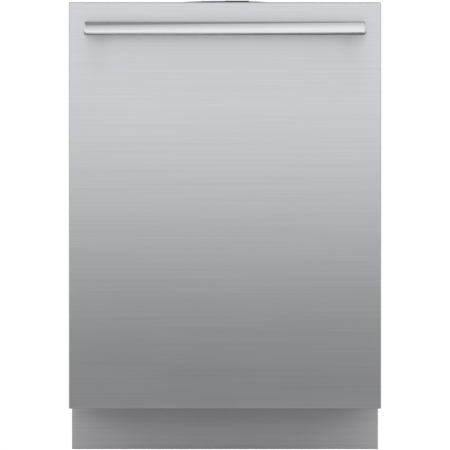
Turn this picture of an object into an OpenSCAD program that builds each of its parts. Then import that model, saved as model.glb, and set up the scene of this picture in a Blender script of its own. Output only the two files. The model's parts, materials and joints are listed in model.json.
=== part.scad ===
// Built-in dishwasher, 24 inch class, with a bar handle and controls on the door's top edge.
// Frame: +Z up, the front faces -Y, the origin is under the middle of the whole object.

/* [Overall] */
// Width across the door panel
door_w = 598; // [500:1:720]
// Height of the door's steel panel
door_h = 778; // [640:1:940]
// Depth from the door's face to the back of the base
body_depth = 603; // [560:1:730]
// Height of the door's lower edge above the floor
toe_gap = 83; // [78:1:110]
// How far the crowned middle of the panel's top edge rises, display included
crown_h = 3; // [1.5:0.5:6]
// Width of the crowned middle
crown_w = 180; // [120:5:260]

/* [Door] */
// Thickness of the whole door
door_t = 62; // [56:1:80]
// Depth of the outer panel's folded edges
pan_depth = 24; // [18:1:30]
// Thickness of the door's steel sheets
skin = 1; // [0.8:0.1:2]
// Hinge axis behind the door's face
axis_back = 45; // [38:1:50]
// Hinge axis above the door's lower edge
axis_up = 25; // [22:1:34]
// Radius of the hinge pins
pin_r = 5; // [4:0.5:6]
// Height of the control strip
strip_h = 16; // [14:1:22]
// Radius of a push button
button_r = 6; // [4:0.5:8]

/* [Handle] */
// Length of the bar
bar_len = 536; // [360:1:620]
// Height of the bar
bar_h = 26; // [18:1:34]
// Thickness of the bar, front to back
bar_t = 20; // [14:1:26]
// How far the handle stands out from the door's face
handle_out = 60; // [45:1:80]
// Top of the bar below the panel's top edge
bar_drop = 40; // [30:1:120]

/* [Tub] */
// Thickness of the tub's steel sheets
tub_wall = 1.2; // [1:0.1:2]
// Gap between the door's inner face and the gasket
gasket_gap = 0.5; // [0.3:0.1:1.5]
// Radius of the sump cup
sump_r = 97; // [85:1:105]
// Radius of the round dish in the tub's floor
dish_r = 200; // [170:1:215]

/* [Racks] */
// Radius of the lower rack's wheels
wheel_r = 20; // [16:1:22]
// Pitch of the rack wires
pitch = 50; // [40:1:70]
// Thickness of a rack panel's wires
wire = 4; // [3:0.5:5]
// Underside of the upper rack above the hinge axis
upper_up = 325; // [300:1:345]
// Underside of the third rack above the hinge axis
third_up = 643; // [600:1:650]
// Length of the lower spray arm, tip to tip
arm_len = 460; // [300:1:480]

/* [Feet] */
// Radius of a levelling foot's threaded stud
stud_r = 5; // [4:0.5:6]
// Radius of a levelling foot's pad
pad_r = 20; // [15:1:25]

/* [Hidden] */
// Running clearance of pins and shafts, on the radius
fit = 0.06;
// Gap between neighbours that slide or only nearly touch
gap = 0.3;

half = door_w / 2;
face_y = -(body_depth + handle_out) / 2 + handle_out;
handle_y = face_y - handle_out;
back_y = face_y + body_depth;
panel_top = toe_gap + door_h;
inner_y = face_y + door_t;
axis_y = face_y + axis_back;
axis_z = toe_gap + axis_up;
ledge_z = axis_z + (inner_y - axis_y) + 0.5;

// Widths, stacked from the outside in
arm_x = half - 7;
arm_t = 3;
bracket_x = half - 11.5;
bracket_t = 3;
side_x = bracket_x - bracket_t - 0.4;
liner_x = bracket_x - 4;
wall_x = side_x - 14;
blanket_t = 6.8;

// The tub, front to back and bottom to top
frame_y = inner_y + gasket_gap + 8;
tub_y = frame_y + 10;
tub_back = back_y - 20;
tub_top = panel_top - 40;
strip_down = 1.5;
strip_z = panel_top - strip_down - strip_h;
sump_y = (tub_y + tub_back) / 2;
dish_z = ledge_z - 18;
base_z = 22;

// Racks
rack_x = wall_x - 25;
rack_front = inner_y + 36;
rack_back = tub_back - 34;
lower_z = ledge_z + 52;
lower_h = 150;
upper_z = axis_z + upper_up;
upper_h = 160;
third_z = axis_z + third_up;
third_h = 28;
wheel_z = ledge_z + gap + wheel_r;
wheel_front_y = axis_y + 150;
wheel_back_y = rack_back - 60;
rail_z = upper_z + upper_h - 15;
third_rail_z = third_z + 17;
rail_len = rack_back - rack_front - 8;
hub_z = ledge_z + 20;
mid_arm_z = upper_z - 40;
tine_y = rack_front + 190;
shelf_x = rack_x - 8;
shelf_z = upper_z + 78;

cup_y = sump_y - 54;
float_x = -(wall_x - 62);
float_y = tub_y + 41;
foot_x = side_x - 32;
foot_front_y = frame_y + 60;
foot_back_y = back_y - 45;
kick_y = tub_y + 8;
pump_z = 66;
rear_wall_y = back_y - 31;
hose_x = 190;
hose_bend = 25;
disp_x = 35;
clip_x = foot_x - 20;
wiring_x = foot_x - 57;
wiring_y = frame_y + 62;
post_x = bar_len / 2 - 33;
bar_z = panel_top - bar_drop - bar_h / 2;
disp_z = axis_z + 385;
board_z = strip_z + 5;

// The display, right of the middle, stands a little above the steel
lens_w = 46;
lens_d = 18;
lens_y = face_y + 6;
lens_up = 0.8;

// ---- helpers ----

// A box between two corners
module block(low, high) { translate(low) cube(high - low); }

// Rods along the three axes, from one coordinate to another
module rod_x(r, x0, x1, y, z)
  translate([x0, y, z]) rotate([0, 90, 0]) cylinder(r = r, h = x1 - x0, $fn = 48);
module rod_y(r, y0, y1, x, z)
  translate([x, y0, z]) rotate([-90, 0, 0]) cylinder(r = r, h = y1 - y0, $fn = 48);
module rod_z(r, z0, z1, x, y)
  translate([x, y, z0]) cylinder(r = r, h = z1 - z0, $fn = 48);

// The same piece on the right and, mirrored, on the left
module both_sides() { children(); mirror([1, 0, 0]) children(); }

// A flat grid of square wires, drawn from its corner
module grid(w, h) {
  nx = max(1, round(w / pitch));
  ny = max(1, round(h / pitch));
  hole = [(w - wire) / nx - wire, (h - wire) / ny - wire];
  difference() {
    square([w, h]);
    for (i = [0:nx - 1], j = [0:ny - 1])
      translate([wire + i * (hole[0] + wire), wire + j * (hole[1] + wire)]) square(hole);
  }
}

// Grids lying flat, facing front and facing sideways
module grid_xy(x0, x1, y0, y1, z)
  translate([x0, y0, z]) linear_extrude(wire) grid(x1 - x0, y1 - y0);
module grid_xz(x0, x1, z0, z1, y)
  translate([x0, y + wire, z0]) rotate([90, 0, 0]) linear_extrude(wire) grid(x1 - x0, z1 - z0);
module grid_yz(y0, y1, z0, z1, x)
  translate([x, y0, z0]) rotate([90, 0, 90]) linear_extrude(wire) grid(y1 - y0, z1 - z0);

// An open wire basket: a floor and four walls, each its own welded panel
module basket(z, h) {
  wall_z = z + wire + gap;
  grid_xy(-rack_x, rack_x, rack_front, rack_back, z);
  grid_xz(-rack_x, rack_x, wall_z, z + h, rack_front);
  grid_xz(-rack_x, rack_x, wall_z, z + h, rack_back - wire);
  for (x = [-rack_x, rack_x - wire])
    grid_yz(rack_front + wire + gap, rack_back - wire - gap, wall_z, z + h, x);
}

// A quarter bend of a hose lying flat, about a centre, from an angle
module bend(r, radius, x, y, z, from)
  translate([x, y, z]) rotate([0, 0, from])
    rotate_extrude(angle = 90, $fn = 64) translate([radius, 0]) circle(r, $fn = 32);

// ---- tub ----

module tub_wrapper() color("silver")
  translate([0, tub_back, 0]) rotate([90, 0, 0]) linear_extrude(tub_back - tub_y) difference() {
    translate([-wall_x - tub_wall, ledge_z]) square([2 * (wall_x + tub_wall), tub_top + tub_wall - ledge_z]);
    translate([-wall_x, ledge_z - 1]) square([2 * wall_x, tub_top - ledge_z + 1]);
  }

module tub_back_wall() color("silver")
  block([-wall_x - tub_wall, tub_back, ledge_z - tub_wall],
        [wall_x + tub_wall, tub_back + tub_wall, tub_top + tub_wall]);

module tub_floor_pan() color("silver") difference() {
  union() {
    difference() {
      block([-side_x, tub_y, ledge_z - tub_wall], [side_x, tub_back, ledge_z]);
      rod_z(dish_r, ledge_z - 5, ledge_z + 5, 0, sump_y);
    }
    translate([0, sump_y, 0]) rotate_extrude($fn = 96) polygon([
      [sump_r - 3, dish_z - tub_wall], [dish_r, ledge_z - tub_wall], [dish_r + 2, ledge_z - tub_wall],
      [dish_r + 2, ledge_z], [dish_r, ledge_z], [sump_r - 3, dish_z]
    ]);
    rod_z(10, ledge_z - 20, ledge_z + 5, float_x, float_y);
  }
  rod_z(stud_r + fit, ledge_z - 30, ledge_z + 30, float_x, float_y);
}

module front_frame() color("gainsboro")
  translate([0, tub_y, 0]) rotate([90, 0, 0]) linear_extrude(tub_y - frame_y) difference() {
    translate([-side_x, ledge_z - 14]) square([2 * side_x, panel_top - 5 - ledge_z + 14]);
    translate([-wall_x, ledge_z]) square([2 * wall_x, tub_top - ledge_z]);
  }

module door_gasket() color("dimgray")
  translate([0, frame_y, 0]) rotate([90, 0, 0]) linear_extrude(frame_y - inner_y - gasket_gap) difference() {
    translate([-liner_x + 1, ledge_z - 9]) square([2 * (liner_x - 1), tub_top + 11 - ledge_z + 9]);
    translate([-wall_x - 1, ledge_z - 1]) square([2 * (wall_x + 1), tub_top + 2 - ledge_z]);
  }

module insulation_blanket() color("slategray") {
  inner = tub_wall + gap;
  outer = inner + blanket_t;
  both_sides() block([wall_x + inner, tub_y + 6, ledge_z + 8], [wall_x + outer, tub_back, tub_top]);
  block([-wall_x, tub_y + 6, tub_top + inner], [wall_x, tub_back, tub_top + outer]);
  block([-wall_x, tub_back + inner, ledge_z + 8], [wall_x, tub_back + outer, tub_top]);
}

// ---- base ----

module base_tray() color("darkslategray") difference() {
  union() {
    block([-side_x, kick_y + 4, base_z], [side_x, rear_wall_y + 3, base_z + 3]);
    both_sides() block([side_x - 3, kick_y + 4, base_z], [side_x, back_y, ledge_z - tub_wall]);
    block([-side_x, rear_wall_y, base_z], [side_x, rear_wall_y + 3, ledge_z - 12]);
    block([-side_x, kick_y + 4, base_z], [side_x, kick_y + 7, base_z + 34]);
    for (x = [-foot_x, foot_x], y = [foot_front_y, foot_back_y]) rod_z(stud_r + 5, base_z, base_z + 20, x, y);
  }
  for (x = [-foot_x, foot_x], y = [foot_front_y, foot_back_y]) rod_z(stud_r + fit, base_z - 5, base_z + 30, x, y);
  for (x = [-hose_x, hose_x]) rod_y(15, rear_wall_y - 5, rear_wall_y + 8, x, pump_z);
  rod_z(14, base_z - 5, base_z + 5, wiring_x, wiring_y);
}

module kick_plate() color("gray") {
  block([-half + 3, kick_y, 1], [half - 3, kick_y + 1.5, toe_gap + 9]);
  block([-half + 18, kick_y + 1.5, toe_gap + 7.5], [half - 18, kick_y + 3.7, toe_gap + 9]);
}

// Clips on the back of the kick plate that hook over the tray's front edge
module kick_clips() color("silver") for (x = [-clip_x, clip_x]) {
  block([x - 12, kick_y + 1.5, base_z + 14], [x + 12, kick_y + 2.5, base_z + 36]);
  block([x - 12, kick_y + 1.5, base_z + 35], [x + 12, kick_y + 8.5, base_z + 36]);
  block([x - 12, kick_y + 7.5, base_z + 20], [x + 12, kick_y + 8.5, base_z + 36]);
}

module foot(x, y) color("black") {
  rod_z(pad_r, 0, 8, x, y);
  rod_z(stud_r, 8, base_z + 38, x, y);
}

// The cup under the tub, with its two side outlets and the post that the lower arm turns on
module sump_housing() color("darkslategray") {
  difference() {
    union() {
      rod_z(sump_r, 42, dish_z - tub_wall, 0, sump_y);
      rod_x(14, -sump_r - 8, sump_r + 8, sump_y, pump_z);
    }
    rod_z(sump_r - 3, 45, dish_z + 5, 0, sump_y);
    rod_x(11, -sump_r - 20, sump_r + 20, sump_y, pump_z);
  }
  rod_z(13, 45, hub_z, 0, sump_y);
  rod_z(8, hub_z, hub_z + 18, 0, sump_y);
}

module fine_filter() color("silver") difference() {
  rod_z(sump_r - 3 - gap, dish_z - 5, dish_z - 3.5, 0, sump_y);
  rod_z(13 + gap, 0, 200, 0, sump_y);
  rod_z(36, 0, 200, 0, cup_y);
}

module filter_cup() color("lightslategray") {
  difference() {
    rod_z(34, 47, dish_z - 1, 0, cup_y);
    rod_z(31.5, 50, dish_z - 6, 0, cup_y);
    for (a = [0:45:315]) translate([0, cup_y, 56]) rotate([0, 0, a]) block([20, -7, 0], [40, 7, dish_z - 70]);
  }
  block([-30, cup_y - 4, dish_z - 1], [30, cup_y + 4, dish_z + 9]);
}

module wash_pump() color("dimgray") {
  difference() {
    union() {
      rod_x(35, -sump_r - 42, -sump_r - 12, sump_y, pump_z);
      rod_x(13, -sump_r - 12, -sump_r - 8 - gap, sump_y, pump_z);
    }
    rod_x(30, -sump_r - 38, -sump_r - 16, sump_y, pump_z);
    rod_x(10, -sump_r - 20, -sump_r, sump_y, pump_z);
  }
  rod_x(32, -sump_r - 135, -sump_r - 42, sump_y, pump_z);
  rod_x(12, -sump_r - 143, -sump_r - 135, sump_y, pump_z);
}

module drain_pump() color("dimgray") {
  rod_x(13, sump_r + 8 + gap, sump_r + 14, sump_y, pump_z);
  rod_x(25, sump_r + 14, sump_r + 40, sump_y, pump_z);
  rod_x(20, sump_r + 40, sump_r + 85, sump_y, pump_z);
  rod_y(9, sump_y, sump_y + 40, sump_r + 27, pump_z);
}

module drain_hose() color("gray") difference() {
  start_x = sump_r + 27;
  turn_y = sump_y + 110;
  union() {
    rod_y(10, sump_y + 40 + gap, turn_y, start_x, pump_z);
    bend(10, hose_bend, start_x + hose_bend, turn_y, pump_z, 90);
    rod_x(10, start_x + hose_bend, hose_x - hose_bend, turn_y + hose_bend, pump_z);
    bend(10, hose_bend, hose_x - hose_bend, turn_y + 2 * hose_bend, pump_z, -90);
    rod_y(10, turn_y + 2 * hose_bend, rear_wall_y - 1, hose_x, pump_z);
    rod_y(9, rear_wall_y - 2, back_y - 3, hose_x, pump_z);
    rod_y(14, rear_wall_y - 8, rear_wall_y - 1, hose_x, pump_z);
  }
  rod_y(6.5, rear_wall_y - 30, back_y + 5, hose_x, pump_z);
}

module inlet_valve() color("white") {
  difference() {
    rod_y(13.2, rear_wall_y - 24, back_y - 3, -hose_x, pump_z);
    rod_y(9, rear_wall_y - 10, back_y + 5, -hose_x, pump_z);
  }
  block([-hose_x - 18, rear_wall_y - 58, pump_z - 18], [-hose_x + 18, rear_wall_y - 24, pump_z + 18]);
  rod_z(14, pump_z + 18, pump_z + 34, -hose_x, rear_wall_y - 41);
  block([-hose_x - 12, rear_wall_y - 50, base_z + 3], [-hose_x + 12, rear_wall_y - 32, pump_z - 18]);
}

module junction_box() color("silver") difference() {
  block([foot_x - 90, frame_y + 32, base_z + 3], [foot_x - 25, frame_y + 92, base_z + 43]);
  block([foot_x - 88.5, frame_y + 33.5, base_z + 4.5], [foot_x - 26.5, frame_y + 90.5, base_z + 41.5]);
  rod_z(11, base_z, base_z + 10, wiring_x, wiring_y);
}

module air_break_box() color("whitesmoke")
  block([-side_x - 9, sump_y - 80, axis_z + 180], [-side_x - 0.5, sump_y + 60, axis_z + 500]);

// ---- tub fittings ----

module feed_tube() color("lightslategray") {
  block([-20, tub_back - 14, ledge_z + 0.5], [20, tub_back - 0.5, tub_top - 2]);
  block([-16, sump_y, tub_top - 13], [16, tub_back - 14, tub_top - 2]);
  rod_y(9, tub_back - 22, tub_back - 14, 0, mid_arm_z + 26);
}

module ceiling_sprayer() color("lightslategray") {
  rod_z(12, tub_top - 17, tub_top - 13, 0, sump_y);
  rod_z(38, tub_top - 22, tub_top - 17, 0, sump_y);
}

module rack_rails() color("silver") {
  both_sides() rail_channel(wall_x - 0.5, rail_z, 15, 11.2);
  both_sides() rail_channel(wall_x - 0.5, third_rail_z, 11, 14);
}

// A C-shaped rail on the tub's side, open towards the middle
module rail_channel(x, z, half_h, deep)
  translate([0, rack_front + 8 + rail_len, 0]) rotate([90, 0, 0]) linear_extrude(rail_len) difference() {
    translate([x - deep, z - half_h]) square([deep, 2 * half_h]);
    translate([x - deep - 1, z - half_h + 3]) square([deep - 1.5, 2 * half_h - 6]);
  }

module rail_sliders() color("gainsboro") both_sides()
  translate([0, rack_front + 8 + rail_len, 0]) rotate([90, 0, 0]) linear_extrude(rail_len) difference() {
    translate([wall_x - 13, rail_z - 11.5]) square([10, 23]);
    translate([wall_x - 14, rail_z - 7]) square([8, 14]);
  }

module rack_runner(z, x_out, half_h)
  block([rack_x + gap, rack_front + 8, z - half_h], [x_out, rack_front + 8 + rail_len, z + half_h]);

module mounting_brackets() color("silver") both_sides() difference() {
  block([180, frame_y + 4, panel_top - 5], [220, tub_y + 32, panel_top - 3]);
  rod_z(2.6, panel_top - 20, panel_top + 5, 200, tub_y + 18);
}

module hinge_brackets() color("dimgray") both_sides() difference() {
  union() {
    rod_x(16, bracket_x - bracket_t, bracket_x, axis_y, axis_z);
    block([bracket_x - bracket_t, axis_y, axis_z - 12], [bracket_x, kick_y + 90, ledge_z - 9.5]);
    block([bracket_x - bracket_t, kick_y + 10, axis_z - 70], [bracket_x, kick_y + 90, axis_z - 12]);
  }
  rod_x(pin_r + fit, bracket_x - 10, bracket_x + 10, axis_y, axis_z);
}

module latch_strike() color("silver") {
  block([-12, inner_y - 14, strip_z + 8], [12, frame_y - 0.2, strip_z + 11]);
  block([-24, frame_y - 1.7, strip_z + 2], [24, frame_y - 0.2, strip_z + 8]);
}

module door_springs() color("gray") both_sides() {
  translate([arm_x + 1.5, axis_y + 22, axis_z + 26]) rotate([-90 - 14, 0, 0]) {
    cylinder(r = 1.5, h = 60, $fn = 24);
    translate([0, 0, 60]) cylinder(r = 4.5, h = 130, $fn = 32);
    translate([0, 0, 190]) cylinder(r = 1.5, h = 14, $fn = 24);
  }
}

// ---- door ----

// A plan outline with rounded front corners
module front_rounded(w, d, r) {
  translate([-w / 2 + r, 0]) square([w - 2 * r, d]);
  translate([-w / 2, r]) square([w, d - r]);
  for (s = [-1, 1]) translate([s * (w / 2 - r), r]) circle(r, $fn = 32);
}

module outer_door_panel() color("lightgray") difference() {
  union() {
    translate([0, face_y, toe_gap]) linear_extrude(door_h) front_rounded(door_w, pan_depth, 3);
    crown(crown_w, crown_h - lens_up, face_y, face_y + skin);
  }
  translate([0, face_y + skin, toe_gap + skin]) linear_extrude(door_h) front_rounded(door_w - 2 * skin, pan_depth, 2);
  for (x = [-post_x, post_x]) rod_y(2.6, face_y - 5, face_y + 5, x, bar_z);
}

module inner_door_liner() color("silver") difference() {
  block([-liner_x, face_y + 12, axis_z - 8], [liner_x, inner_y, strip_z - 1]);
  block([-liner_x + skin, face_y + 11, axis_z - 8 + skin], [liner_x - skin, inner_y - skin, strip_z - 1 - skin]);
  block([disp_x - 96, inner_y - 5, disp_z - 71], [disp_x + 96, inner_y + 5, disp_z + 71]);
}

module door_insulation() color("slategray")
  block([-liner_x + 6, face_y + skin + 3.5, toe_gap + 40], [liner_x - 6, face_y + 13, strip_z - 12]);

// A bar's section, with rounded corners
module bar_section(r) {
  translate([r, 0]) square([bar_t - 2 * r, bar_h]);
  translate([0, r]) square([bar_t, bar_h - 2 * r]);
  for (x = [r, bar_t - r], y = [r, bar_h - r]) translate([x, y]) circle(r, $fn = 32);
}

module handle_bar() color("lightgray")
  translate([-bar_len / 2, handle_y, panel_top - bar_drop - bar_h]) rotate([90, 0, 90])
    linear_extrude(bar_len) bar_section(5);

module handle_posts() color("gray") for (x = [-post_x, post_x]) difference() {
  block([x - 12, handle_y + bar_t, panel_top - bar_drop - bar_h + 4], [x + 12, face_y, panel_top - bar_drop - 4]);
  rod_y(2.5 + fit, handle_y + bar_t - 5, face_y + 5, x, bar_z);
}

module handle_screws() color("silver") for (x = [-post_x, post_x]) {
  rod_y(2.5, handle_y + bar_t + 4, face_y + skin, x, bar_z);
  rod_y(5, face_y + skin, face_y + skin + 3, x, bar_z);
}

// Places of the four push buttons along the strip
button_x = [-half + 60, -half + 110, half - 110, half - 60];
button_y = face_y + 32;

// The strip along the door's top edge, crowned in the middle
module control_strip() color("dimgray") difference() {
  union() {
    block([-half + 4, face_y + skin + gap, strip_z], [half - 4, inner_y - 1, panel_top - strip_down]);
    crown(crown_w, crown_h - lens_up, face_y + skin + gap, face_y + 46);
  }
  block([-half + 6, face_y + skin + gap + 2, strip_z - 1], [half - 6, inner_y - 3, panel_top - 4.5]);
  block([-22, inner_y - 10, strip_z + 3], [22, inner_y + 5, strip_z + 14]);
  for (x = button_x) rod_z(button_r + 0.4, panel_top - 10, panel_top + 5, x, button_y);
  block([-gap, lens_y - gap, panel_top - 2.5], [lens_w + gap, lens_y + lens_d + gap, panel_top + 9]);
}

// A shallow arch over the strip, rising up above the panel's top edge
module crown(chord, up, y0, y1) {
  rise = up + strip_down;
  r = (chord * chord / 4 + rise * rise) / (2 * rise);
  translate([0, y1, panel_top - strip_down]) rotate([90, 0, 0]) linear_extrude(y1 - y0) intersection() {
    translate([0, rise - r]) circle(r, $fn = 360);
    translate([-chord / 2, 0]) square([chord, rise + 1]);
  }
}

module display_lens() color("midnightblue")
  block([0, lens_y, panel_top - 2.5], [lens_w, lens_y + lens_d, panel_top + crown_h]);

module control_board() color("darkgreen") {
  block([-half + 30, face_y + 14, board_z], [-70, face_y + 48, board_z + 1.6]);
  for (x = [-half + 45, -half + 160]) block([x, face_y + 38, board_z - 3.5], [x + 30, face_y + 47, board_z]);
}

module door_latch() color("black") difference() {
  block([-34, inner_y - 36, strip_z + 1], [34, inner_y - 3.5, panel_top - 5]);
  block([-20, inner_y - 24, strip_z + 4], [20, inner_y + 5, strip_z + 13]);
}

module dispenser_housing() color("lightslategray") difference() {
  block([disp_x - 95, inner_y - 38, disp_z - 70], [disp_x + 95, inner_y + 2, disp_z + 70]);
  block([disp_x - 85, inner_y - 30, disp_z - 45], [disp_x - 5, inner_y + 5, disp_z + 20]);
  rod_y(22, inner_y - 20, inner_y + 5, disp_x + 45, disp_z - 10);
}

module detergent_lid() color("gainsboro") {
  block([disp_x - 88, inner_y + 2.4, disp_z - 49], [disp_x - 2, inner_y + 5, disp_z + 24]);
  block([disp_x - 60, inner_y + 5, disp_z + 8], [disp_x - 30, inner_y + 8, disp_z + 14]);
}

module rinse_aid_cap() color("gainsboro") {
  rod_y(20, inner_y - 12, inner_y + 5, disp_x + 45, disp_z - 10);
  block([disp_x + 41, inner_y + 5, disp_z - 28], [disp_x + 49, inner_y + 9, disp_z + 8]);
}

module hinge_arms() color("dimgray") both_sides() {
  rod_x(14, arm_x, arm_x + arm_t, axis_y, axis_z);
  block([arm_x, face_y + 14, axis_z], [arm_x + arm_t, face_y + 38, axis_z + 220]);
  block([arm_x, face_y + 38, axis_z + 20], [arm_x + arm_t, face_y + 52, axis_z + 34]);
  rod_x(pin_r, bracket_x - bracket_t - 0.3, arm_x, axis_y, axis_z);
}

module button(i) color("silver") {
  rod_z(button_r, panel_top - 7.5, panel_top - 0.2, button_x[i], button_y);
  rod_z(button_r + 2, panel_top - 6.5, panel_top - 4.8, button_x[i], button_y);
}

// ---- spray arms ----

// A long flat blade with round ends, wider in the middle
module arm_outline(len, mid_w, tip_w) {
  x = (len - tip_w) / 2;
  polygon([[-x, -tip_w / 2], [0, -mid_w / 2], [x, -tip_w / 2], [x, tip_w / 2], [0, mid_w / 2], [-x, tip_w / 2]]);
  for (s = [-1, 1]) translate([s * x, 0]) circle(tip_w / 2, $fn = 32);
}

module lower_spray_arm() color("lightslategray") difference() {
  union() {
    translate([0, sump_y, hub_z + 2]) linear_extrude(12) arm_outline(arm_len, 58, 34);
    rod_z(24, hub_z + gap, hub_z + 20, 0, sump_y);
  }
  rod_z(8 + fit, hub_z - 1, hub_z + 18 + gap, 0, sump_y);
}

module middle_spray_arm() color("lightslategray") difference() {
  union() {
    translate([0, sump_y, mid_arm_z]) linear_extrude(11) arm_outline(arm_len - 30, 50, 30);
    rod_z(20, mid_arm_z - 3, mid_arm_z + 15, 0, sump_y);
  }
  rod_z(6 + fit, mid_arm_z, mid_arm_z + 20, 0, sump_y);
}

module float_cap() color("whitesmoke") {
  rod_z(stud_r, ledge_z - 34, ledge_z + 5 + gap, float_x, float_y);
  rod_z(20, ledge_z + 5 + gap, ledge_z + 22, float_x, float_y);
}

// ---- racks ----

module upper_rack() color("lightslategray") {
  basket(upper_z, upper_h);
  both_sides() rack_runner(rail_z, wall_x - 6.5, 6.5);
  // the pipe that feeds the arm under the rack
  rod_y(11, sump_y, tub_back - 23, 0, mid_arm_z + 26);
  rod_z(6, mid_arm_z + gap, mid_arm_z + 20, 0, sump_y);
}

// Its four wheel carriers clip on under the floor wires
module lower_rack() color("lightslategray") {
  basket(lower_z, lower_h);
  both_sides() for (y = [wheel_front_y, wheel_back_y]) {
    block([rack_x - wire, y - 7, wheel_z - 7], [rack_x, y + 7, lower_z - gap]);
    rod_x(4, rack_x, rack_x + 16, y, wheel_z);
  }
}

module wheel_pair(y) both_sides() difference() {
  rod_x(wheel_r, rack_x + 3, rack_x + 13, y, wheel_z);
  rod_x(4 + fit, rack_x, rack_x + 20, y, wheel_z);
}

module third_rack() color("lightslategray") {
  basket(third_z, third_h);
  both_sides() rack_runner(third_rail_z, wall_x - 4, 7.5);
}

// Tines that stand on the lower rack's floor and fold towards the door
module fold_tines() color("lightslategray") {
  rod_x(3, -rack_x + 30, 60, tine_y, lower_z + wire + 5);
  grid_xz(-rack_x + 34, 56, lower_z + wire + 6, lower_z + 90, tine_y - wire / 2);
}

module cup_shelf() color("lightslategray") {
  rod_y(3, rack_front + 60, rack_back - 60, shelf_x, shelf_z);
  grid_xy(shelf_x - 92, shelf_x - 1, rack_front + 64, rack_back - 64, shelf_z - wire / 2);
}

module cutlery_basket() color("lightslategray") difference() {
  block([rack_x - 130, rack_front + 30, lower_z + wire + 1], [rack_x - 12, rack_front + 260, lower_z + 120]);
  for (i = [0:2]) let (y = rack_front + 33 + 75 * i)
    block([rack_x - 127, y, lower_z + wire + 4], [rack_x - 15, y + 72, lower_z + 130]);
}

tub_wrapper();
tub_back_wall();
tub_floor_pan();
front_frame();
door_gasket();
insulation_blanket();
base_tray();
kick_plate();
kick_clips();
sump_housing();
fine_filter();
wash_pump();
drain_pump();
inlet_valve();
drain_hose();
air_break_box();
feed_tube();
ceiling_sprayer();
hinge_brackets();
mounting_brackets();
latch_strike();
rack_rails();
junction_box();
door_springs();
foot(-foot_x, foot_front_y);  // foot_front_left
foot(foot_x, foot_front_y);  // foot_front_right
foot(-foot_x, foot_back_y);  // foot_rear_left
foot(foot_x, foot_back_y);  // foot_rear_right
outer_door_panel();
inner_door_liner();
door_insulation();
handle_bar();
handle_posts();
handle_screws();
control_strip();
display_lens();
control_board();
door_latch();
dispenser_housing();
hinge_arms();
detergent_lid();
rinse_aid_cap();
button(0);  // button_power
button(1);  // button_cycle
button(2);  // button_options
button(3);  // button_start
lower_spray_arm();
middle_spray_arm();
filter_cup();
float_cap();
upper_rack();
rail_sliders();
mirror([1, 0, 0]) cup_shelf();  // cup_shelf_left
cup_shelf();  // cup_shelf_right
lower_rack();
color("gray") wheel_pair(wheel_front_y);  // wheels_front
color("gray") wheel_pair(wheel_back_y);  // wheels_rear
fold_tines();
cutlery_basket();
third_rack();
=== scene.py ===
import json
import math

import bmesh
import bpy
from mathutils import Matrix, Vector


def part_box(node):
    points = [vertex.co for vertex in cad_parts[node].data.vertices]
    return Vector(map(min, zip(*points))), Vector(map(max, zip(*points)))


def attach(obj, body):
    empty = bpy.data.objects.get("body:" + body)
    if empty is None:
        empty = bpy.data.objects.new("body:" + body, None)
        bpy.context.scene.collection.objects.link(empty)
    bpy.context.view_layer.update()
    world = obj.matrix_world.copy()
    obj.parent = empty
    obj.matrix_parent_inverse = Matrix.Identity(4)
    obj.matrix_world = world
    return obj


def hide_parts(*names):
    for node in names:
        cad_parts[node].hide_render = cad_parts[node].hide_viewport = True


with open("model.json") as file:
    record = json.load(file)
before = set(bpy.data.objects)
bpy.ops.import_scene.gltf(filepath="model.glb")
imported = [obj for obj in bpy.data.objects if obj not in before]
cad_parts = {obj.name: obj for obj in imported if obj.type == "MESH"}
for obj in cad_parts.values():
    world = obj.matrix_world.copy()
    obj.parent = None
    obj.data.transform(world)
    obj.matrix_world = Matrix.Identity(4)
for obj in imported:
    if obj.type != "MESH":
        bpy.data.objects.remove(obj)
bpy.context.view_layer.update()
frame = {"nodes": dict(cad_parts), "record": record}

MM = 0.001
BODY = {n: b for b, nodes in frame["record"]["behaviour"]["bodies"].items() for n in nodes}
SLOT = {s["node"]: s["material_slot"] for s in frame["record"]["subparts"]}


# ---------------------------------------------------------------- materials

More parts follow.
